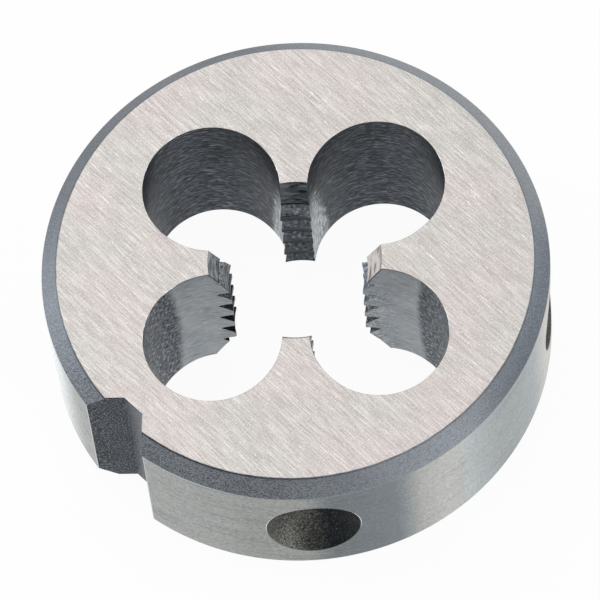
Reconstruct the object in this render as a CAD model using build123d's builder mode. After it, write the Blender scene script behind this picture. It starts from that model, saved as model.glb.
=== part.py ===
"""Solid round threading die for an M8 x 1.25 screw thread.

A single piece of hardened steel: a thick disc with chamfered edges, a threaded bore in
the middle, four chip holes that open into the bore and leave four cutting lands, a notch
in the rim for the setting screw of the die stock, and four conical seats in the rim for
its clamping screws. The thread axis is +Z and the lower face lies on z = 0.
"""
import os
from math import ceil, radians, sin, tan

from build123d import *

os.makedirs("parts", exist_ok=True)

# Disc (millimetres, as all lengths here)
DIE_DIAMETER = 25.0
DIE_THICKNESS = 9.0
EDGE_CHAMFER = 0.8

# Screw thread that the die cuts: right-hand, metric, with a narrow root
THREAD_MAJOR_DIAMETER = 8.0
THREAD_PITCH = 1.25
THREAD_ANGLE = 60.0
THREAD_ROOT_FLAT = 0.06
THREAD_START_ANGLE = 67.0

# Conical leads that start the cut, wider than the thread by this much at either face
UPPER_LEAD_OVERSIZE = 0.55
LOWER_LEAD_OVERSIZE = 0.90
LEAD_CONE_ANGLE = 54.0

# Chip holes: they leave a land between each two of them, and a wall inside the rim
CHIP_HOLE_COUNT = 4
FIRST_CHIP_HOLE_ANGLE = 45.0
LAND_WIDTH = 1.47
RIM_WALL = 3.34

# The rakes of the lands are ground by a wheel that just clears the chip hole and is fed
# towards the bore
RAKE_WHEEL_CLEARANCE = 0.025
RAKE_WHEEL_FEED = 0.12

# Setting notch in the rim
NOTCH_DIRECTION = 223.75
NOTCH_DEPTH = 1.5
NOTCH_FLAT_WIDTH = 1.25
NOTCH_OPENING_ANGLE = 90.0

# Conical seats in the rim, in pairs either side of the notch
SEAT_DEPTH = 2.54
SEAT_CONE_ANGLE = 90.0
NEAR_SEAT_SPACING = 48.75
FAR_SEAT_SPACING = 133.25

# Cuts run past the surface that they start from by this much
OVERRUN = 1.0

# The cuts of the thread start this much inside the bore, and stop short of the middle of
# each chip hole by half this angle
GROOVE_OVERCUT = 0.15
GROOVE_GAP_ANGLE = 10.0

# Depth of a metric thread as a share of the height of its sharp triangle
THREAD_DEPTH_SHARE = 5 / 8

die_radius = DIE_DIAMETER / 2

# A chip hole touches the circle inside the rim wall and the sides of two lands
land_spacing = 360 / CHIP_HOLE_COUNT
land_sine = sin(radians(land_spacing / 2))
chip_circle_radius = (die_radius - RIM_WALL + LAND_WIDTH / 2) / (1 + land_sine)
chip_hole_radius = chip_circle_radius * land_sine - LAND_WIDTH / 2

thread_slope = tan(radians(THREAD_ANGLE / 2))
thread_radius = THREAD_MAJOR_DIAMETER / 2
bore_radius = thread_radius - THREAD_DEPTH_SHARE * THREAD_PITCH / 2 / thread_slope

# The groove is cut land by land and turn by turn, each cut an arc of the helix that ends
# in the chip holes either side of the land
first_land_angle = FIRST_CHIP_HOLE_ANGLE - land_spacing / 2
groove_arc = land_spacing - GROOVE_GAP_ANGLE
groove_mouth_radius = bore_radius - GROOVE_OVERCUT
groove_mouth_width = THREAD_ROOT_FLAT + 2 * (thread_radius - groove_mouth_radius) * thread_slope
groove_turns = ceil(DIE_THICKNESS / THREAD_PITCH) + 2

with BuildPart() as land_groove:
    with BuildLine() as groove_path:
        Helix(THREAD_PITCH, THREAD_PITCH * groove_arc / 360, bore_radius)
    with BuildSketch(Plane.XZ):
        with BuildLine():
            Polyline(
                (groove_mouth_radius, -groove_mouth_width / 2),
                (thread_radius, -THREAD_ROOT_FLAT / 2),
                (thread_radius, THREAD_ROOT_FLAT / 2),
                (groove_mouth_radius, groove_mouth_width / 2),
                close=True,
            )
        make_face()
    sweep(path=groove_path.line, is_frenet=True)

groove_starts = []
for land in range(CHIP_HOLE_COUNT):
    start_angle = first_land_angle + land * land_spacing - groove_arc / 2
    lowest_height = THREAD_PITCH * ((start_angle - THREAD_START_ANGLE) / 360 % 1 - 1)
    for turn in range(groove_turns):
        height = lowest_height + turn * THREAD_PITCH
        groove_starts.append(Location((0, 0, height), (0, 0, start_angle)))

notch_flat_radius = die_radius - NOTCH_DEPTH
notch_reach = NOTCH_DEPTH + OVERRUN
notch_flare = notch_reach * tan(radians(NOTCH_OPENING_ANGLE / 2))

seat_slope = tan(radians(SEAT_CONE_ANGLE / 2))
seat_angles = [
    NOTCH_DIRECTION + side * spacing
    for spacing in (NEAR_SEAT_SPACING, FAR_SEAT_SPACING)
    for side in (1, -1)
]

with BuildPart() as threading_die:
    # Disc
    Cylinder(die_radius, DIE_THICKNESS, align=(Align.CENTER, Align.CENTER, Align.MIN))
    chamfer(threading_die.edges().filter_by(GeomType.CIRCLE), EDGE_CHAMFER)

    # Bore at the tips of the thread
    Hole(bore_radius)

    # Chip holes
    with PolarLocations(chip_circle_radius, CHIP_HOLE_COUNT, FIRST_CHIP_HOLE_ANGLE):
        Hole(chip_hole_radius)

    # Ground rakes of the lands
    rake_circle_radius = chip_circle_radius - RAKE_WHEEL_FEED
    with PolarLocations(rake_circle_radius, CHIP_HOLE_COUNT, FIRST_CHIP_HOLE_ANGLE):
        Hole(chip_hole_radius - RAKE_WHEEL_CLEARANCE / 2)

    # Thread on the lands
    with Locations(groove_starts):
        add(land_groove.part, mode=Mode.SUBTRACT)

    # Leads at either end of the thread
    with Locations(Plane.XY.offset(DIE_THICKNESS)):
        CounterSinkHole(
            bore_radius,
            thread_radius + UPPER_LEAD_OVERSIZE / 2,
            counter_sink_angle=LEAD_CONE_ANGLE,
        )
    with Locations(-Plane.XY):
        CounterSinkHole(
            bore_radius,
            thread_radius + LOWER_LEAD_OVERSIZE / 2,
            counter_sink_angle=LEAD_CONE_ANGLE,
        )

    # Setting notch
    with BuildSketch(Plane.XY.rotated((0, 0, NOTCH_DIRECTION))):
        with BuildLine():
            Polyline(
                (notch_flat_radius, -NOTCH_FLAT_WIDTH / 2),
                (notch_flat_radius, NOTCH_FLAT_WIDTH / 2),
                (notch_flat_radius + notch_reach, NOTCH_FLAT_WIDTH / 2 + notch_flare),
                (notch_flat_radius + notch_reach, -NOTCH_FLAT_WIDTH / 2 - notch_flare),
                close=True,
            )
        make_face()
    extrude(amount=DIE_THICKNESS, mode=Mode.SUBTRACT)

    # Conical seats, apex inwards
    for seat_angle in seat_angles:
        radial = Vector(1, 0, 0).rotate(Axis.Z, seat_angle)
        apex = radial * (die_radius - SEAT_DEPTH) + Vector(0, 0, DIE_THICKNESS / 2)
        seat_length = SEAT_DEPTH + OVERRUN
        with Locations(Plane(origin=apex, z_dir=radial)):
            Cone(
                0,
                seat_length * seat_slope,
                seat_length,
                align=(Align.CENTER, Align.CENTER, Align.MIN),
                mode=Mode.SUBTRACT,
            )

threading_die.part.label = "threading_die"
export_step(threading_die.part, "parts/threading_die.step")
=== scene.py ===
from math import ceil, cos, pi, radians, sin, tan

import bmesh
import bpy
from mathutils import Matrix, Vector


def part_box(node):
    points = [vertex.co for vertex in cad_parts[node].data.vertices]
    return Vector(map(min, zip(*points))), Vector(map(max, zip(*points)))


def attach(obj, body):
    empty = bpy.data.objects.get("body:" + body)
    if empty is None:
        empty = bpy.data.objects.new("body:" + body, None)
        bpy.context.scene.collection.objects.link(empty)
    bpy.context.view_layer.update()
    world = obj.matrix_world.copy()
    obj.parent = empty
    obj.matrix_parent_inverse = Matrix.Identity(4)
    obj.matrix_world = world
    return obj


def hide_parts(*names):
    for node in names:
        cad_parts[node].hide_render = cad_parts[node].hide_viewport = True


# Looks of the round threading die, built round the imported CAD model. The steel body is
# cut here as a finer mesh than the CAD node's, with one material for each kind of finish.
# Lengths are in millimetres until the finished mesh is scaled to metres.

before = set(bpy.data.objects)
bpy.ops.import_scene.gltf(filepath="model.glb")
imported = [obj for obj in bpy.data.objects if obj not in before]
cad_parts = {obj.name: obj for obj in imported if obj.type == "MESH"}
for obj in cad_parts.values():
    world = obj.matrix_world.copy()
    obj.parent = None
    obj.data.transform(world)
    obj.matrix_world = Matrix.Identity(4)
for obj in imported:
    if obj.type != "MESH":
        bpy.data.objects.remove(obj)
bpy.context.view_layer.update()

MM = 0.001
NODE = "threading_die"

# ---------------------------------------------------------------- sizes, as in the CAD
cad_low, cad_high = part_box(NODE)
DIE_RADIUS = (cad_high[0] - cad_low[0]) / 2 / MM
THICKNESS = (cad_high[2] - cad_low[2]) / MM
EDGE_CHAMFER = 0.8
THREAD_RADIUS = 4.0
PITCH = 1.25
THREAD_HALF_ANGLE = radians(30)
ROOT_FLAT = 0.06
THREAD_START = radians(67)
THREAD_DEPTH_SHARE = 5 / 8
BORE_RADIUS = THREAD_RADIUS - THREAD_DEPTH_SHARE * PITCH / 2 / tan(THREAD_HALF_ANGLE)
GROOVE_OVERCUT = 0.15
SPARE_TURNS = 2
UPPER_LEAD_RADIUS = 4.275
LOWER_LEAD_RADIUS = 4.45
LEAD_SLOPE = tan(radians(27))
HOLE_COUNT = 4
FIRST_HOLE = radians(45)
LAND_WIDTH = 1.47
RIM_WALL = 3.34
RAKE_CLEARANCE = 0.0125
RAKE_FEED = 0.12
NOTCH_DIRECTION = radians(223.75)
NOTCH_DEPTH = 1.5
NOTCH_FLAT = 1.25
# The notch's walls stand at 45 degrees, so its flat widens by twice this share of what the
# notch grows
NOTCH_CORNER = tan(pi / 8)
SEAT_DEPTH = 2.54
SEAT_SPACINGS = (48.75, -48.75, 133.25, -133.25)
SEAT_ANGLES = [NOTCH_DIRECTION + radians(spacing) for spacing in SEAT_SPACINGS]
OVERRUN = 1.0

LAND_SINE = sin(pi / HOLE_COUNT)
CHIP_CIRCLE = (DIE_RADIUS - RIM_WALL + LAND_WIDTH / 2) / (1 + LAND_SINE)
HOLE_RADIUS = CHIP_CIRCLE * LAND_SINE - LAND_WIDTH / 2

# Round forms are cut into this many facets
RIM_FACETS = 294
HOLE_FACETS = 192
BORE_FACETS = 192
SEAT_FACETS = 96
TURN_FACETS = 120

EDGE_BREAK = 0.03
HOLE_BREAK = 0.015
LIP_BREAK = 0.045
WELD = 0.002
SMOOTH_ANGLE = radians(16)

# ---------------------------------------------------------------- where finishes change
# The faces were ground in straight lines in this direction
GRAIN = radians(133.4)

# Patches round the die: the direction of the middle, then how far that way from the axis
# the patch begins and is full. These are on the rim, all painted reflections and shade:
PAINTED_SHADE_PATCH = (radians(284.5), 12.16, 12.4)
PAINTED_LIGHT_PATCH = (radians(235), 11.2, 12.3)
PAINTED_REFLECTION_PATCH = (radians(302), 12.35, 12.45)
BLUE_SIDE = (radians(325), 9, 12)
PALE_SIDE = (radians(195), 12.05, 12.42)
WARM_SIDE = (radians(352), 12.1, 12.42)
# These are on the chamfers, the first three painted light and shade, the last where the
# specks and the dark border are strongest:
LIGHT_SIDE = (radians(52), 8, 12)
DARK_SIDE = (radians(346), 10.4, 12.1)
DIM_SIDE = (radians(190), 7, 11.5)
ROUGH_SIDE = (radians(240), 8, 11.5)
# And these on the broken edges: a painted highlight, a painted shade, and the last one
# everywhere but beside the notch:
LIT_EDGES = (radians(52), 3, 8)
PAINTED_SHADE_RING = (radians(310), 6, 8)
OFF_NOTCH = (NOTCH_DIRECTION, 12.2, 11.8)

# Where a change begins and is full along x (from left to right in the photograph), y
# (from front to back), z (upwards) or R (outwards from the axis)
FRONT_Y = (1, -1)
BACK_Y = (-1, 1)
TOP_LAND_Y = (1.5, 2.5)
RIGHT_LAND_X = (1, 2)
LEFT_LAND_X = (-1.5, -2.2)
RIGHT_LEAD_X = (2.6, 3.0)
LEFT_LEAD_X = (-2.2, -3)
LEAD_BORDER_R = (4.17, 4.25)
LEAD_GROOVE_R = (4.0, 3.96)
BURRS_Z = (7.1, 6.1)
LAND_SHADE_Z = (7.4, 4.5)
LAND_LIGHT_Z = (7.4, 7.9)
SEAT_SHADE_X = (-0.6, 1.3)
SEAT_RIGHT_X = (4, 8)
LOWER_LIPS_Z = (5.2, 3.8)
CHAMFER_EDGE_Z = (7.3, 7.8)
CHAMFER_BORDER_R = (11.80, 11.73)
OUTER_EDGES_R = (11, 11.5)
RIM_EDGES_R = (11.8, 12.2)

# The same above the middle of the thread's groove, in pitches
GROOVE_SHADE = (0.53, 0.46)
GROOVE_EDGE = (0.09, 0.04)

# The rake wheel cleaned the walls beside the lands. Its mark begins and is full this far
# from the middles of the chip holes towards the axis, and reaches further at both faces.
WHEEL_MARK = (0.53, 0.88)
WHEEL_BULGE = 0.3
# Beside the land opposite the camera, it cleaned only a wedge that widens downwards
WEDGE_TOP = 7.4
WEDGE_WIDTH = 0.95
WEDGE_SIDE = (-0.05, 0.12)
# The wedge's side wanders by this much either way, and the wheel's mark by a share of it
WANDER = 0.4
WHEEL_WANDER_SHARE = 0.4
# The rakes are burred from the first of these radii inwards to the second
BURRS_R = (5.0, BORE_RADIUS + 0.5)

# Thin dark outlines of the chip holes, beside the upper lead and under the upper face
LEAD_OUTLINE_R = (UPPER_LEAD_RADIUS + 0.12, UPPER_LEAD_RADIUS + 0.05)
FACE_OUTLINE_Z = (THICKNESS - 0.14, THICKNESS - 0.06)

# The middle of a noise's values, which gives soft patches when it is stretched
SOFT = (0.35, 0.65)


# ---------------------------------------------------------------- finishes
def tone(red, green, blue):
    """A colour written in screen values from 0 to 255."""
    linear = []
    for value in (red, green, blue):
        share = value / 255
        linear.append(share / 12.92 if share <= 0.04045 else ((share + 0.055) / 1.055) ** 2.4)
    return (*linear, 1)


BLACK = tone(12, 14, 16)


class Finish:
    """The node tree of one finish. Its patterns are laid out in millimetres."""

    def __init__(self, name, rough):
        self.material = bpy.data.materials.new(name)
        self.material.use_nodes = True
        self.tree = self.material.node_tree
        self.shader = self.tree.nodes["Principled BSDF"]
        self.shader.inputs["Metallic"].default_value = 1.0
        self.shader.inputs["Roughness"].default_value = rough
        place = self.add("ShaderNodeTexCoord")
        self.mm = self.mapped(place.outputs["Object"], scale=(1 / MM,) * 3)
        split = self.add("ShaderNodeSeparateXYZ")
        self.link(self.mm, split.inputs[0])
        self.x, self.y, self.z = split.outputs

    def add(self, kind):
        return self.tree.nodes.new(kind)

    def link(self, source, target):
        """Joins a socket to another, or sets a plain value there."""
        if isinstance(source, bpy.types.NodeSocket):
            self.tree.links.new(source, target)
        else:
            target.default_value = source

    def mapped(self, vector, scale=(1, 1, 1), turn=0.0, shift=(0, 0, 0)):
        node = self.add("ShaderNodeMapping")
        self.link(vector, node.inputs["Vector"])
        node.inputs["Scale"].default_value = scale
        node.inputs["Rotation"].default_value = (0, 0, turn)
        node.inputs["Location"].default_value = shift
        return node.outputs["Vector"]

    def noise(self, density, detail=2.0, distort=0.0, turn=0.0, seed=0.0):
        """Noise with this many features to a millimetre along x, y and z."""
        turned = self.mapped(self.mm, turn=turn)
        vector = self.mapped(turned, scale=density, shift=(seed, seed, seed))
        node = self.add("ShaderNodeTexNoise")
        self.link(vector, node.inputs["Vector"])
        node.inputs["Scale"].default_value = 1.0
        node.inputs["Detail"].default_value = detail
        node.inputs["Distortion"].default_value = distort
        return node.outputs["Fac"]

    def spread(self, value, low, high, to_low=0.0, to_high=1.0):
        """Stretches a value from one range to another and stops it at both ends.

        The ends of the second range can be sockets too.
        """
        node = self.add("ShaderNodeMapRange")
        self.link(value, node.inputs["Value"])
        node.inputs["From Min"].default_value = low
        node.inputs["From Max"].default_value = high
        self.link(to_low, node.inputs["To Min"])
        self.link(to_high, node.inputs["To Max"])
        return node.outputs["Result"]

    def math(self, operation, first, second=0):
        node = self.add("ShaderNodeMath")
        node.operation = operation
        self.link(first, node.inputs[0])
        self.link(second, node.inputs[1])
        return node.outputs[0]

    def plus(self, first, second):
        return self.math("ADD", first, second)

    def minus(self, first, second):
        return self.math("SUBTRACT", first, second)

    def times(self, first, second):
        return self.math("MULTIPLY", first, second)

    def over(self, first, second):
        return self.math("DIVIDE", first, second)

    def size(self, value):
        """The value without its sign."""
        return self.math("ABSOLUTE", value)

    def toward(self, direction):
        """How far a point lies in this direction from the die's axis."""
        return self.plus(self.times(self.x, cos(direction)), self.times(self.y, sin(direction)))

    def patch(self, place, outside=0.0, inside=1.0):
        """Goes from one value outside a patch round the die to the other inside it."""
        direction, begins, full = place
        return self.spread(self.toward(direction), begins, full, outside, inside)

    def radius(self):
        """Distance from the die's axis."""
        squares = [self.times(side, side) for side in (self.x, self.y)]
        return self.math("SQRT", self.plus(*squares))

    def above_groove(self):
        """How far a point lies above the middle of the thread's groove, in pitches."""
        turned = self.over(self.math("ARCTAN2", self.y, self.x), 2 * pi)
        turns = self.minus(self.over(self.z, PITCH), turned)
        return self.math("FLOORED_MODULO", self.plus(turns, THREAD_START / (2 * pi)), 1)

    def blend(self, share, first, second):
        """Colour that goes from the first to the second as the share grows."""
        node = self.add("ShaderNodeMix")
        node.data_type = "RGBA"
        self.link(share, node.inputs[0])
        self.link(first, node.inputs[6])
        self.link(second, node.inputs[7])
        return node.outputs[2]

    def colour(self, source):
        self.link(source, self.shader.inputs["Base Color"])

    def roughness(self, source):
        self.link(source, self.shader.inputs["Roughness"])

    def relief(self, height, depth):
        """Bumps of this depth in millimetres."""
        node = self.add("ShaderNodeBump")
        node.inputs["Distance"].default_value = depth * MM
        node.inputs["Strength"].default_value = 1.0
        self.link(height, node.inputs["Height"])
        self.link(node.outputs["Normal"], self.shader.inputs["Normal"])

    def upright_spread(self, amount):
        """Lines round the die stretch its highlights up and down."""
        along = self.add("ShaderNodeCombineXYZ")
        along.inputs["Z"].default_value = 1.0
        self.link(along.outputs[0], self.shader.inputs["Tangent"])
        self.shader.inputs["Anisotropic"].default_value = amount


def ground_face():
    """Surface-ground faces: fine straight lines, with painted glints along a few of them.

    They turn rougher where they are seen at a slant, so that no low lamp shows in them.
    """
    f = Finish("ground_face", rough=0.42)
    patches = f.spread(f.noise((0.22, 0.22, 0.22), detail=1), *SOFT)
    ground = f.blend(patches, tone(190, 187, 182), tone(197, 188, 185))
    lines = f.noise((1.0, 24, 0.4), detail=2, turn=-GRAIN)
    dark = f.blend(f.spread(lines, 0.5, 0.15), ground, tone(164, 158, 155))
    pale = f.blend(f.spread(lines, 0.5, 0.9), dark, tone(230, 225, 222))
    grain = f.noise((9, 22, 9), detail=1, turn=-GRAIN, seed=41)
    grained = f.blend(f.spread(grain, 0.5, 0.9), pale, tone(240, 236, 233))
    # Painted glints along a few of the lines
    painted_glints = f.noise((1.1, 24, 0.4), detail=1, turn=-GRAIN, seed=31)
    f.colour(f.blend(f.spread(painted_glints, 0.68, 0.78), grained, tone(246, 243, 241)))
    slant = f.add("ShaderNodeLayerWeight").outputs["Facing"]
    gloss = f.spread(lines, 0.3, 0.7, 0.46, 0.36)
    f.roughness(f.spread(slant, 0.3, 0.6, gloss, 0.85))
    f.relief(lines, 0.003)
    return f.material


def rim_steel(f, painted_shade):
    """Steel of the rim before its lines, with painted reflections and painted shade round the die.
    """
    broad = f.noise((0.3, 0.3, 0.1), detail=1, seed=7)
    ground = f.blend(f.spread(broad, 0.3, 0.7), tone(168, 171, 168), tone(177, 179, 176))
    # Painted light and painted reflections at fixed places round the rim, and painted shade last
    clear = f.blend(f.patch(PAINTED_LIGHT_PATCH), ground, tone(186, 188, 186))
    blue = f.blend(f.patch(BLUE_SIDE), clear, tone(174, 179, 181))
    painted_light = f.blend(f.patch(PAINTED_REFLECTION_PATCH), blue, tone(173, 173, 170))
    limb = f.blend(f.patch(PALE_SIDE), painted_light, tone(204, 206, 207))
    warm = f.blend(f.patch(WARM_SIDE), limb, tone(191, 189, 186))
    return f.blend(painted_shade, warm, tone(132, 139, 143))


def ground_rim():
    """Cylindrically ground rim: fine lines round the die, and a patch of painted shade by one
    seat.
    """
    f = Finish("ground_rim", rough=0.52)
    f.upright_spread(0.85)
    lines = f.noise((0.35, 0.35, 7), detail=3)
    grain = f.noise((6, 6, 12), detail=2, seed=43)
    painted_shade = f.patch(PAINTED_SHADE_PATCH)
    steel = rim_steel(f, painted_shade)
    depth = f.patch(BLUE_SIDE, 1, 0.7)
    lined = f.blend(f.times(f.spread(lines, 0.5, 0.0), depth), steel, tone(110, 115, 115))
    dark = f.blend(f.times(f.spread(grain, 0.5, 0.1), depth), lined, tone(120, 126, 126))
    fleck = f.blend(painted_shade, tone(206, 209, 207), tone(160, 166, 170))
    f.colour(f.blend(f.times(f.spread(grain, 0.5, 0.9), depth), dark, fleck))
    f.relief(lines, 0.002)
    return f.material


def chamfer_scale(f):
    """Scale on the chamfers before its specks, lighter and darker round the die as painted light
    and shade.
    """
    broad = f.noise((0.3, 0.3, 0.3), detail=1, seed=3)
    scale = f.blend(f.spread(broad, *SOFT), tone(129, 134, 141), tone(137, 142, 148))
    shaded = f.math("MAXIMUM", f.patch(DARK_SIDE), f.patch(DIM_SIDE, 0, 0.6))
    dim = f.blend(shaded, scale, tone(104, 110, 117))
    return f.blend(f.patch(LIGHT_SIDE), dim, tone(165, 169, 173))


def dark_chamfer():
    """Heat-darkened chamfers: blue-grey, matt, finely speckled."""
    f = Finish("dark_chamfer", rough=0.45)
    specks = f.noise((13, 13, 28), detail=3)
    depth = f.patch(ROUGH_SIDE, 0.42, 1)
    dark = f.blend(f.times(f.spread(specks, 0.52, 0.3), depth), chamfer_scale(f), tone(54, 60, 66))
    pale = f.blend(f.times(f.spread(specks, 0.52, 0.8), depth), dark, tone(170, 175, 180))
    border = f.times(f.spread(f.radius(), *CHAMFER_BORDER_R), depth)
    f.colour(f.blend(border, pale, tone(50, 55, 60)))
    f.roughness(f.spread(specks, *SOFT, 0.62, 0.54))
    f.relief(specks, 0.003)
    return f.material


def drilled_colour(f, rings, grain):
    """Colour of the chip holes where they are as drilled, with painted light in the front holes.
    """
    wall = f.blend(f.spread(rings, *SOFT), tone(46, 50, 57), tone(65, 71, 79))
    front = f.blend(f.spread(f.y, *FRONT_Y, 0, 0.45), wall, tone(112, 118, 126))
    dark = f.blend(f.spread(grain, 0.5, 0.34), front, tone(18, 21, 26))
    pale = f.blend(f.spread(f.y, *FRONT_Y), tone(130, 138, 146), tone(172, 179, 185))
    return f.blend(f.spread(grain, 0.52, 0.72), dark, pale)


def streaked(f, steel):
    """The steel with upright streaks beside the land opposite the camera."""
    streaks = f.noise((9, 9, 1.8), detail=3, seed=53)
    back = f.spread(f.y, *TOP_LAND_Y)
    hollows = f.times(f.spread(streaks, 0.48, 0.36), back)
    dark = f.blend(hollows, steel, tone(94, 100, 105))
    ridges = f.times(f.spread(streaks, 0.52, 0.64), back)
    return f.blend(ridges, dark, tone(200, 203, 202))


def burred(f, steel):
    """The steel with pits and chips beside the right land, below its lead."""
    burrs = f.noise((8, 8, 11), detail=2, seed=47)
    near = f.spread(f.radius(), *BURRS_R)
    low = f.times(f.spread(f.x, *RIGHT_LAND_X), f.spread(f.z, *BURRS_Z))
    beside = f.times(near, low)
    pits = f.times(f.spread(burrs, 0.42, 0.32), beside)
    pitted = f.blend(pits, steel, tone(66, 71, 76))
    chips = f.times(f.spread(burrs, 0.58, 0.7), beside)
    return f.blend(chips, pitted, tone(200, 204, 207))


def ground_colour(f, lines, grain):
    """Colour of the chip holes where the rake wheel has ground them."""
    broad = f.noise((0.5, 0.5, 0.5), detail=1, seed=5)
    ground = f.blend(f.spread(broad, *SOFT), tone(134, 140, 145), tone(148, 153, 157))
    dark = f.blend(f.spread(lines, 0.48, 0.28), ground, tone(104, 110, 115))
    pale = f.blend(f.spread(grain, 0.54, 0.76), dark, tone(186, 190, 193))
    return burred(f, streaked(f, pale))


def spared_share(f, ragged):
    """Where the wheel left the walls alone: past a wedge beside the top land."""
    width = f.spread(f.z, 0, WEDGE_TOP, LAND_WIDTH / 2 + WEDGE_WIDTH, LAND_WIDTH / 2)
    inside = f.minus(f.plus(width, ragged), f.size(f.x))
    wedge = f.spread(inside, *WEDGE_SIDE)
    return f.times(f.spread(f.y, *TOP_LAND_Y), f.minus(1, wedge))


def ground_share(f):
    """Where the rake wheel has cleaned the walls: beside the lands, with a ragged end."""
    across = f.plus(f.size(f.x), f.size(f.y))
    inward = f.minus(CHIP_CIRCLE, f.over(across, 2**0.5))
    ragged = f.spread(f.noise((1.6, 1.6, 9), detail=3, seed=23), 0.2, 0.8, -WANDER, WANDER)
    middle = f.over(f.minus(f.z, THICKNESS / 2), THICKNESS / 2)
    bulge = f.times(f.math("POWER", f.size(middle), 2), WHEEL_BULGE)
    reached = f.plus(f.plus(inward, f.times(ragged, WHEEL_WANDER_SHARE)), bulge)
    beside = f.spread(reached, *WHEEL_MARK)
    return f.times(beside, f.minus(1, spared_share(f, ragged)))


def outline_share(f):
    """Thin dark outlines, where the walls meet the upper face and the upper lead."""
    depth = f.minus(THICKNESS, f.z)
    cone = f.plus(f.radius(), f.times(depth, LEAD_SLOPE))
    beside = f.spread(cone, *LEAD_OUTLINE_R, 0, 0.9)
    under = f.spread(f.z, *FACE_OUTLINE_Z, 0, 0.6)
    return f.math("MAXIMUM", beside, under)


def chip_wall():
    """Chip-hole walls: drilled and heat-darkened, then ground beside the lands."""
    f = Finish("chip_wall", rough=0.42)
    f.upright_spread(0.4)
    rings = f.noise((0.6, 0.6, 4), detail=4, distort=0.5)
    streaks = f.noise((2.6, 2.6, 15), detail=4, distort=0.4, seed=11)
    specks = f.noise((5.5, 5.5, 7), detail=4, seed=37)
    grain = f.spread(f.y, *BACK_Y, specks, streaks)
    lines = f.noise((1.2, 1.2, 10), detail=3, seed=19)
    share = ground_share(f)
    walls = f.blend(share, drilled_colour(f, rings, grain), ground_colour(f, lines, streaks))
    f.colour(f.blend(outline_share(f), walls, tone(34, 34, 36)))
    f.roughness(f.spread(share, 0, 1, 0.45, 0.34))
    f.relief(f.times(rings, f.spread(share, 0, 1, 1, 0.2)), 0.025)
    return f.material


def cut_thread():
    """Tapped and heat-darkened thread, with chatter marks along the teeth.

    The flanks of the left land are in shade low down and catch the light higher up.
    """
    f = Finish("cut_thread", rough=0.4)
    marks = f.noise((6, 6, 14), detail=3, distort=0.4)
    steel = f.blend(f.spread(marks, *SOFT), tone(84, 90, 96), tone(122, 128, 134))
    dark = f.blend(f.spread(marks, 0.4, 0.3), steel, tone(50, 54, 59))
    left = f.spread(f.x, *LEFT_LAND_X)
    shade = f.times(left, f.spread(f.z, *LAND_SHADE_Z))
    shaded = f.blend(f.times(shade, 0.8), dark, BLACK)
    ridge = f.blend(shade, tone(186, 191, 196), dark)
    pale = f.blend(f.spread(marks, 0.57, 0.75), shaded, ridge)
    # Painted light on the upper flanks of the left land, in pale streaks
    light = f.times(left, f.spread(f.z, *LAND_LIGHT_Z, 0, 0.5))
    pale_streaks = f.blend(f.spread(marks, 0.4, 0.6), tone(120, 126, 131), tone(222, 226, 229))
    f.colour(f.blend(light, pale, pale_streaks))
    f.relief(marks, 0.01)
    return f.material


def dark_crest():
    """Crests of the thread, left by the tapping drill, with painted shadow on the lower part of
    each.
    """
    f = Finish("dark_crest", rough=0.4)
    marks = f.noise((2.5, 2.5, 8), detail=3)
    steel = f.blend(f.spread(marks, *SOFT), tone(30, 33, 37), tone(56, 61, 66))
    f.colour(f.blend(f.spread(f.above_groove(), *GROOVE_SHADE), steel, BLACK))
    f.relief(marks, 0.01)
    return f.material


def turned_colour(f, marks):
    """Colour of the leads where they are as turned, paler and streakier on the left land."""
    steel = f.blend(f.spread(marks, 0.38, 0.6), tone(84, 90, 96), tone(160, 166, 171))
    pale_streaks = f.blend(f.spread(marks, 0.4, 0.62), tone(142, 148, 152), tone(236, 240, 242))
    turned = f.blend(f.spread(f.x, *LEFT_LEAD_X), steel, pale_streaks)
    return f.blend(f.spread(marks, 0.44, 0.34), turned, tone(62, 67, 72))


def bright_colour(f):
    """Colour of the lead that is ground bright, scratched along its land."""
    scratches = f.noise((3, 1, 3), detail=3, seed=29)
    clean = f.blend(f.spread(scratches, 0.4, 0.6), tone(206, 196, 194), tone(250, 243, 241))
    scored = f.blend(f.spread(scratches, 0.45, 0.35), clean, tone(84, 78, 80))
    # Painted shade along the lead's outer border
    return f.blend(f.spread(f.radius(), *LEAD_BORDER_R), scored, tone(176, 168, 166))


def groove_edge(f):
    """A thin line on the leads, just above the mouth of the groove that runs out there."""
    widening = f.times(f.minus(THREAD_RADIUS, f.radius()), tan(THREAD_HALF_ANGLE))
    mouth = f.over(f.plus(widening, ROOT_FLAT / 2), PITCH)
    above = f.minus(f.above_groove(), mouth)
    return f.times(f.spread(above, *GROOVE_EDGE), f.spread(f.radius(), *LEAD_GROOVE_R))


def cut_lead():
    """Turned lead cones: marks that run round the bore, and one land ground bright."""
    f = Finish("cut_lead", rough=0.42)
    marks = f.noise((1.3, 1.3, 9), detail=3, distort=0.5)
    ground = f.spread(f.x, *RIGHT_LEAD_X)
    cones = f.blend(ground, turned_colour(f, marks), bright_colour(f))
    # A painted glint along the groove's mouth on the bright land, and a painted shadow on the
    # others
    edge = f.blend(ground, BLACK, tone(250, 248, 247))
    f.colour(f.blend(groove_edge(f), cones, edge))
    f.link(f.spread(ground, 0, 1, 1, 0.35), f.shader.inputs["Metallic"])
    f.relief(marks, 0.012)
    return f.material


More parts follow.
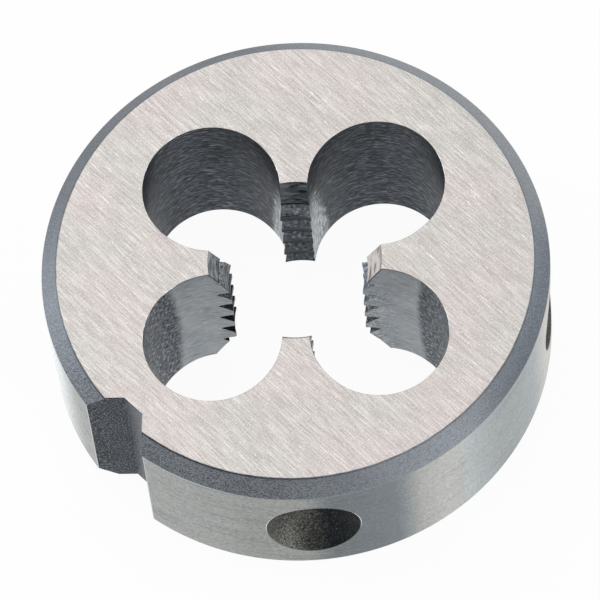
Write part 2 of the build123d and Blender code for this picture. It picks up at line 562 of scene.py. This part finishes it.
def dark_notch():
    """Milled and heat-darkened notch, with painted light on its right wall."""
    f = Finish("dark_notch", rough=0.46)
    specks = f.noise((14, 14, 8), detail=3)
    broad = f.noise((0.9, 0.9, 0.9), detail=2, seed=13)
    scale = f.blend(f.spread(broad, *SOFT), tone(43, 47, 56), tone(57, 63, 71))
    dark = f.blend(f.spread(specks, 0.51, 0.36), scale, tone(16, 18, 22))
    pale = f.blend(f.spread(specks, 0.5, 0.7), dark, tone(126, 134, 143))
    along = f.toward(NOTCH_DIRECTION + pi / 2)
    painted_light = f.spread(along, -NOTCH_FLAT / 2, NOTCH_FLAT / 2, 0, 0.4)
    f.colour(f.blend(painted_light, pale, f.blend(specks, tone(132, 140, 148), tone(206, 213, 220))))
    f.relief(specks, 0.006)
    return f.material


def drilled_seat():
    """Spot-drilled seats: brownish, dark and grainy, with painted shade darkest on the right of
    the front one.
    """
    f = Finish("drilled_seat", rough=0.5)
    specks = f.noise((12, 12, 12), detail=3)
    rings = f.noise((1.6, 1.6, 1.6), detail=2, seed=17)
    shade = f.times(f.spread(f.x, *SEAT_SHADE_X), f.spread(f.x, *SEAT_RIGHT_X, 1, 0.6))
    left = f.blend(f.spread(rings, *SOFT), tone(78, 80, 77), tone(98, 97, 92))
    right = f.blend(f.spread(rings, *SOFT), tone(24, 27, 30), tone(40, 44, 46))
    steel = f.blend(shade, left, right)
    dark = f.blend(f.spread(specks, 0.5, 0.3), steel, tone(26, 28, 29))
    pale = f.blend(shade, tone(140, 139, 133), tone(76, 80, 82))
    f.colour(f.blend(f.spread(specks, 0.52, 0.76), dark, pale))
    f.relief(specks, 0.008)
    return f.material


def rim_edge_colour(f):
    """Colour of the edges on the rim: the lips of notch and seats, and the chamfers' edges, with
    painted shade on the lower edges away from the notch and on one stretch of the upper ones.
    """
    off_notch = f.patch(OFF_NOTCH)
    low = f.times(f.spread(f.z, *LOWER_LIPS_Z), off_notch)
    lips = f.blend(off_notch, tone(208, 211, 213), tone(238, 242, 244))
    lower = f.blend(low, lips, tone(112, 115, 114))
    ring = f.blend(f.patch(PAINTED_SHADE_RING), tone(196, 200, 202), tone(140, 145, 149))
    return f.blend(f.spread(f.z, *CHAMFER_EDGE_Z), lower, ring)


def worn_edge():
    """Broken edges: bright where the scale is rubbed off, with a painted highlight on the outer
    edges towards one side.
    """
    f = Finish("worn_edge", rough=0.35)
    wear = f.noise((2.5, 2.5, 2.5), detail=3)
    steel = f.blend(f.spread(wear, 0.38, 0.6), tone(120, 124, 128), tone(190, 190, 188))
    lit = f.times(f.patch(LIT_EDGES), f.spread(f.radius(), *OUTER_EDGES_R))
    bluish = f.blend(lit, steel, tone(232, 238, 243))
    on_rim = f.spread(f.radius(), *RIM_EDGES_R)
    f.colour(f.blend(on_rim, bluish, rim_edge_colour(f)))
    f.roughness(f.spread(wear, 0.3, 0.7, 0.42, 0.28))
    f.relief(wear, 0.006)
    return f.material


FACE = ground_face()
CHAMFER = dark_chamfer()
RIM = ground_rim()
WALL = chip_wall()
THREAD = cut_thread()
CREST = dark_crest()
LEAD = cut_lead()
NOTCH = dark_notch()
SEAT = drilled_seat()
EDGE = worn_edge()


# ---------------------------------------------------------------- mesh helpers
def mesh_object(name, verts, faces, materials, picks=None):
    """A mesh object. Its faces are turned outwards and take the materials they pick."""
    mesh = bpy.data.meshes.new(name)
    mesh.from_pydata(verts, [], faces)
    for material in materials:
        mesh.materials.append(material)
    if picks is not None:
        mesh.polygons.foreach_set("material_index", picks)
    work = bmesh.new()
    work.from_mesh(mesh)
    bmesh.ops.recalc_face_normals(work, faces=work.faces)
    work.to_mesh(mesh)
    work.free()
    made = bpy.data.objects.new(name, mesh)
    bpy.context.scene.collection.objects.link(made)
    return made


def lathe(name, profile, materials, facets):
    """A solid turned about Z from (radius, height) points, axis to axis.

    There is one material for each stretch of the profile.
    """
    verts = []
    rings = []
    for radius, height in profile:
        if radius == 0:
            rings.append([len(verts)] * facets)
            verts.append((0, 0, height))
            continue
        rings.append(range(len(verts), len(verts) + facets))
        for i in range(facets):
            a = 2 * pi * i / facets
            verts.append((radius * cos(a), radius * sin(a), height))
    used = list(dict.fromkeys(materials))
    faces = []
    picks = []
    for lower, upper, material in zip(rings, rings[1:], materials):
        for i in range(facets):
            j = (i + 1) % facets
            corners = [lower[i], lower[j], upper[j], upper[i]]
            faces.append(list(dict.fromkeys(corners)))
            picks.append(used.index(material))
    return mesh_object(name, verts, faces, used, picks)


def prism(name, outlines, materials):
    """A solid through flat (x, y) outlines, each given with its height."""
    count = len(outlines[0][1])
    verts = [(x, y, z) for z, outline in outlines for x, y in outline]
    top = len(verts) - count
    faces = [list(range(count)), list(range(top, top + count))]
    picks = [0, 0]
    used = list(dict.fromkeys(materials))
    for layer in range(len(outlines) - 1):
        for i in range(count):
            j = (i + 1) % count
            here = layer * count
            faces.append([here + i, here + j, here + count + j, here + count + i])
            picks.append(used.index(materials[layer]))
    return mesh_object(name, verts, faces, used, picks)


def thread_ridge(name, material):
    """The thread's groove as a solid: its section carried along the helix past both faces."""
    mouth_radius = BORE_RADIUS - GROOVE_OVERCUT
    mouth = ROOT_FLAT / 2 + (THREAD_RADIUS - mouth_radius) * tan(THREAD_HALF_ANGLE)
    section = [
        (mouth_radius, -mouth),
        (THREAD_RADIUS, -ROOT_FLAT / 2),
        (THREAD_RADIUS, ROOT_FLAT / 2),
        (mouth_radius, mouth),
    ]
    turns = ceil(THICKNESS / PITCH) + SPARE_TURNS
    steps = turns * TURN_FACETS
    corners = len(section)
    verts = []
    for step in range(steps + 1):
        turn = step / TURN_FACETS
        a = 2 * pi * turn + THREAD_START
        for radius, height in section:
            verts.append((radius * cos(a), radius * sin(a), PITCH * (turn - 1) + height))
    faces = [list(range(corners)), list(range(steps * corners, (steps + 1) * corners))]
    for step in range(steps):
        for k in range(corners):
            m = (k + 1) % corners
            here = step * corners
            faces.append([here + k, here + m, here + corners + m, here + corners + k])
    return mesh_object(name, verts, faces, [material])


def moved(made, x, y, z, turn=None):
    """Moves a cutter by its vertices, so that its object stays at the origin."""
    move = Matrix.Translation((x, y, z))
    if turn is not None:
        move = move @ turn
    made.data.transform(move)
    return made


def cut(body, cutter):
    """Takes the cutter out of the body. The new faces keep the cutter's materials."""
    change = body.modifiers.new("cut", "BOOLEAN")
    change.operation = "DIFFERENCE"
    change.solver = "MANIFOLD"
    change.object = cutter
    change.material_mode = "TRANSFER"
    depsgraph = bpy.context.evaluated_depsgraph_get()
    result = bpy.data.meshes.new_from_object(body.evaluated_get(depsgraph))
    body.modifiers.clear()
    body.data = result
    bpy.data.objects.remove(cutter)


# ---------------------------------------------------------------- the die
def round_body():
    face_radius = DIE_RADIUS - EDGE_CHAMFER
    soft = EDGE_BREAK / 2
    profile = [
        (0, 0),
        (face_radius - soft, 0),
        (face_radius + soft, soft),
        (DIE_RADIUS - soft, EDGE_CHAMFER - soft),
        (DIE_RADIUS, EDGE_CHAMFER + soft),
        (DIE_RADIUS, THICKNESS - EDGE_CHAMFER - soft),
        (DIE_RADIUS - soft, THICKNESS - EDGE_CHAMFER + soft),
        (face_radius + soft, THICKNESS - soft),
        (face_radius - soft, THICKNESS),
        (0, THICKNESS),
    ]
    materials = [FACE, EDGE, CHAMFER, EDGE, RIM, EDGE, CHAMFER, EDGE, FACE]
    return lathe("die", profile, materials, RIM_FACETS)


def through_hole(name, radius):
    """A cutter for a straight hole whose edges are broken at both faces."""
    low, high = -OVERRUN, THICKNESS + OVERRUN
    profile = [
        (0, low),
        (radius + HOLE_BREAK + OVERRUN, low),
        (radius, HOLE_BREAK),
        (radius, THICKNESS - HOLE_BREAK),
        (radius + HOLE_BREAK + OVERRUN, high),
        (0, high),
    ]
    return lathe(name, profile, [EDGE, EDGE, WALL, EDGE, EDGE], HOLE_FACETS)


def bore_cutter():
    low, high = -OVERRUN, THICKNESS + OVERRUN
    lower_end = (LOWER_LEAD_RADIUS - BORE_RADIUS) / LEAD_SLOPE
    upper_end = THICKNESS - (UPPER_LEAD_RADIUS - BORE_RADIUS) / LEAD_SLOPE
    spread = OVERRUN * LEAD_SLOPE
    profile = [
        (0, low),
        (LOWER_LEAD_RADIUS + spread, low),
        (BORE_RADIUS, lower_end),
        (BORE_RADIUS, upper_end),
        (UPPER_LEAD_RADIUS + spread, high),
        (0, high),
    ]
    return lathe("bore", profile, [LEAD, LEAD, CREST, LEAD, LEAD], BORE_FACETS)


def notch_cutter():
    """The notch with its edges broken at both faces."""

    def outline(grown):
        inner = DIE_RADIUS - NOTCH_DEPTH - grown
        outer = DIE_RADIUS + OVERRUN
        half = NOTCH_FLAT / 2 + grown * NOTCH_CORNER
        flare = half + outer - inner
        return [(inner, -half), (outer, -flare), (outer, flare), (inner, half)]

    wide = outline(EDGE_BREAK + OVERRUN)
    outlines = [
        (-OVERRUN, wide),
        (EDGE_BREAK, outline(0)),
        (THICKNESS - EDGE_BREAK, outline(0)),
        (THICKNESS + OVERRUN, wide),
    ]
    made = prism("notch", outlines, [NOTCH, NOTCH, NOTCH])
    return moved(made, 0, 0, 0, Matrix.Rotation(NOTCH_DIRECTION, 4, "Z"))


def seat_cutter(angle):
    reach = SEAT_DEPTH + OVERRUN
    made = lathe("seat", [(0, 0), (reach, reach), (0, reach)], [SEAT, SEAT], SEAT_FACETS)
    turn = Matrix.Rotation(angle, 4, "Z") @ Matrix.Rotation(pi / 2, 4, "Y")
    apex = DIE_RADIUS - SEAT_DEPTH
    return moved(made, apex * cos(angle), apex * sin(angle), THICKNESS / 2, turn)


def build_die():
    body = round_body()
    directions = [FIRST_HOLE + 2 * pi * k / HOLE_COUNT for k in range(HOLE_COUNT)]
    for a in directions:
        hole = through_hole("hole", HOLE_RADIUS)
        cut(body, moved(hole, CHIP_CIRCLE * cos(a), CHIP_CIRCLE * sin(a), 0))
    reach = CHIP_CIRCLE - RAKE_FEED
    for a in directions:
        rake = through_hole("rake", HOLE_RADIUS - RAKE_CLEARANCE)
        cut(body, moved(rake, reach * cos(a), reach * sin(a), 0))
    cut(body, thread_ridge("groove", THREAD))
    cut(body, bore_cutter())
    cut(body, notch_cutter())
    for angle in SEAT_ANGLES:
        cut(body, seat_cutter(angle))
    return body


def break_edges(made, one, other, width):
    """Bevels the edges where two finishes meet."""
    mesh = made.data
    materials = list(mesh.materials)
    work = bmesh.new()
    work.from_mesh(mesh)
    bmesh.ops.remove_doubles(work, verts=work.verts, dist=WELD)
    edges = []
    for edge in work.edges:
        touching = {materials[face.material_index] for face in edge.link_faces}
        if touching == {one, other}:
            edges.append(edge)
    place = materials.index(EDGE)
    bmesh.ops.bevel(
        work, geom=edges, offset=width, segments=1, profile=0.5, affect="EDGES",
        clamp_overlap=False, material=place,
    )
    bmesh.ops.remove_doubles(work, verts=work.verts, dist=WELD)
    work.to_mesh(mesh)
    work.free()


def finish_mesh(made):
    """Smooths the round forms, keeps the edges sharp and scales to metres."""
    mesh = made.data
    mesh.transform(Matrix.Scale(MM, 4))
    mesh.shade_smooth()
    mesh.set_sharp_from_angle(angle=SMOOTH_ANGLE)
    mesh.update()


die = build_die()
break_edges(die, RIM, SEAT, EDGE_BREAK)
break_edges(die, RIM, NOTCH, LIP_BREAK)
die.name = "die_body"
finish_mesh(die)
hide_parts(NODE)
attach(die, "root")


# ---------------------------------------------------------------- camera
# As fitted to the photograph: how far the view is turned, looks down and rolls, how far
# the camera stands from the die and is shifted to the right and up, and its lens
VIEW_TURN = radians(-4.915)
VIEW_DOWN = radians(63.931)
VIEW_ROLL = radians(-6.429)
VIEW_DISTANCE = 275.15 * MM
SHIFT_RIGHT = 0.0453 * MM
SHIFT_UP = -0.0111 * MM
SENSOR_WIDTH = 36
FOCAL_LENGTH = 332.41
NEAREST_SEEN = 0.01


def view_axes():
    """The camera's right, up and forward directions."""
    forward = Vector(
        (sin(VIEW_TURN) * cos(VIEW_DOWN), cos(VIEW_TURN) * cos(VIEW_DOWN), -sin(VIEW_DOWN))
    )
    level = Vector((cos(VIEW_TURN), -sin(VIEW_TURN), 0))
    upright = level.cross(forward)
    right = cos(VIEW_ROLL) * level + sin(VIEW_ROLL) * upright
    up = cos(VIEW_ROLL) * upright - sin(VIEW_ROLL) * level
    return right, up, forward


def camera():
    right, up, forward = view_axes()
    middle = Vector((0, 0, THICKNESS * MM / 2))
    place = middle + SHIFT_RIGHT * right + SHIFT_UP * up - VIEW_DISTANCE * forward
    data = bpy.data.cameras.new("camera")
    data.sensor_width = SENSOR_WIDTH
    data.lens = FOCAL_LENGTH
    data.clip_start = NEAREST_SEEN
    made = bpy.data.objects.new("camera", data)
    basis = Matrix((right, up, -forward)).transposed().to_4x4()
    made.matrix_world = Matrix.Translation(place) @ basis
    bpy.context.scene.collection.objects.link(made)
    bpy.context.scene.camera = made


camera()

# ---------------------------------------------------------------- stage and light
# Lamp panels: the name, the direction and height in degrees that they shine from, their
# distance and size in metres, and their brightness where a white page has 1
LAMPS = [
    ("overhead", 130, 60, 0.7, (0.8, 0.7), 0.85),
    ("right", -42, 10, 0.6, (0.16, 0.3), 7),
    ("side", 14, 8, 0.6, (0.25, 0.25), 4.4),
    ("left", 166, 12, 0.6, (0.2, 0.25), 8),
]
DAYLIGHT = 0.6
FLOOR_SIZE = 6
FLOOR_COLOUR = (0.92, 0.92, 0.92, 1)
# This much of the floor glows white, for the camera and for what metal mirrors. The rest
# takes the die's shadow.
FLOOR_GLOW = 0.95


def softbox(name, direction, height, distance, size, brightness):
    """A lamp panel that faces the die."""
    data = bpy.data.lights.new(name, "AREA")
    data.shape = "RECTANGLE"
    data.size, data.size_y = size
    data.energy = brightness * pi * size[0] * size[1]
    made = bpy.data.objects.new(name, data)
    a, e = radians(direction), radians(height)
    place = distance * Vector((cos(a) * cos(e), sin(a) * cos(e), sin(e)))
    look = (-place).to_track_quat("-Z", "Y").to_matrix().to_4x4()
    made.matrix_world = Matrix.Translation(place) @ look
    bpy.context.scene.collection.objects.link(made)


def daylight():
    """The same white light from all sides."""
    world = bpy.data.worlds.new("world")
    world.use_nodes = True
    world.node_tree.nodes["Background"].inputs["Color"].default_value = (1, 1, 1, 1)
    world.node_tree.nodes["Background"].inputs["Strength"].default_value = DAYLIGHT
    bpy.context.scene.world = world


def seen_share(tree):
    """1 for rays from the camera, also by way of metal or glass, and 0 for other light."""
    path = tree.nodes.new("ShaderNodeLightPath")
    seen = path.outputs["Is Camera Ray"]
    for ray in ("Is Glossy Ray", "Is Transmission Ray"):
        either = tree.nodes.new("ShaderNodeMath")
        either.operation = "MAXIMUM"
        tree.links.new(seen, either.inputs[0])
        tree.links.new(path.outputs[ray], either.inputs[1])
        seen = either.outputs[0]
    return seen


def paper():
    """White that glows for the camera and keeps a faint shadow."""
    material = bpy.data.materials.new("paper")
    material.use_nodes = True
    tree = material.node_tree
    tree.nodes.clear()
    matt = tree.nodes.new("ShaderNodeBsdfDiffuse")
    matt.inputs["Color"].default_value = FLOOR_COLOUR
    glow = tree.nodes.new("ShaderNodeEmission")
    share = tree.nodes.new("ShaderNodeMath")
    share.operation = "MULTIPLY"
    share.inputs[1].default_value = FLOOR_GLOW
    tree.links.new(seen_share(tree), share.inputs[0])
    mix = tree.nodes.new("ShaderNodeMixShader")
    tree.links.new(share.outputs[0], mix.inputs["Fac"])
    tree.links.new(matt.outputs[0], mix.inputs[1])
    tree.links.new(glow.outputs[0], mix.inputs[2])
    out = tree.nodes.new("ShaderNodeOutputMaterial")
    tree.links.new(mix.outputs[0], out.inputs["Surface"])
    return material


def floor():
    bpy.ops.mesh.primitive_plane_add(size=FLOOR_SIZE, location=(0, 0, 0))
    made = bpy.context.object
    made.name = "floor"
    made.data.materials.append(paper())


for lamp in LAMPS:
    softbox(*lamp)
daylight()
floor()
bpy.context.scene.view_settings.view_transform = "Standard"
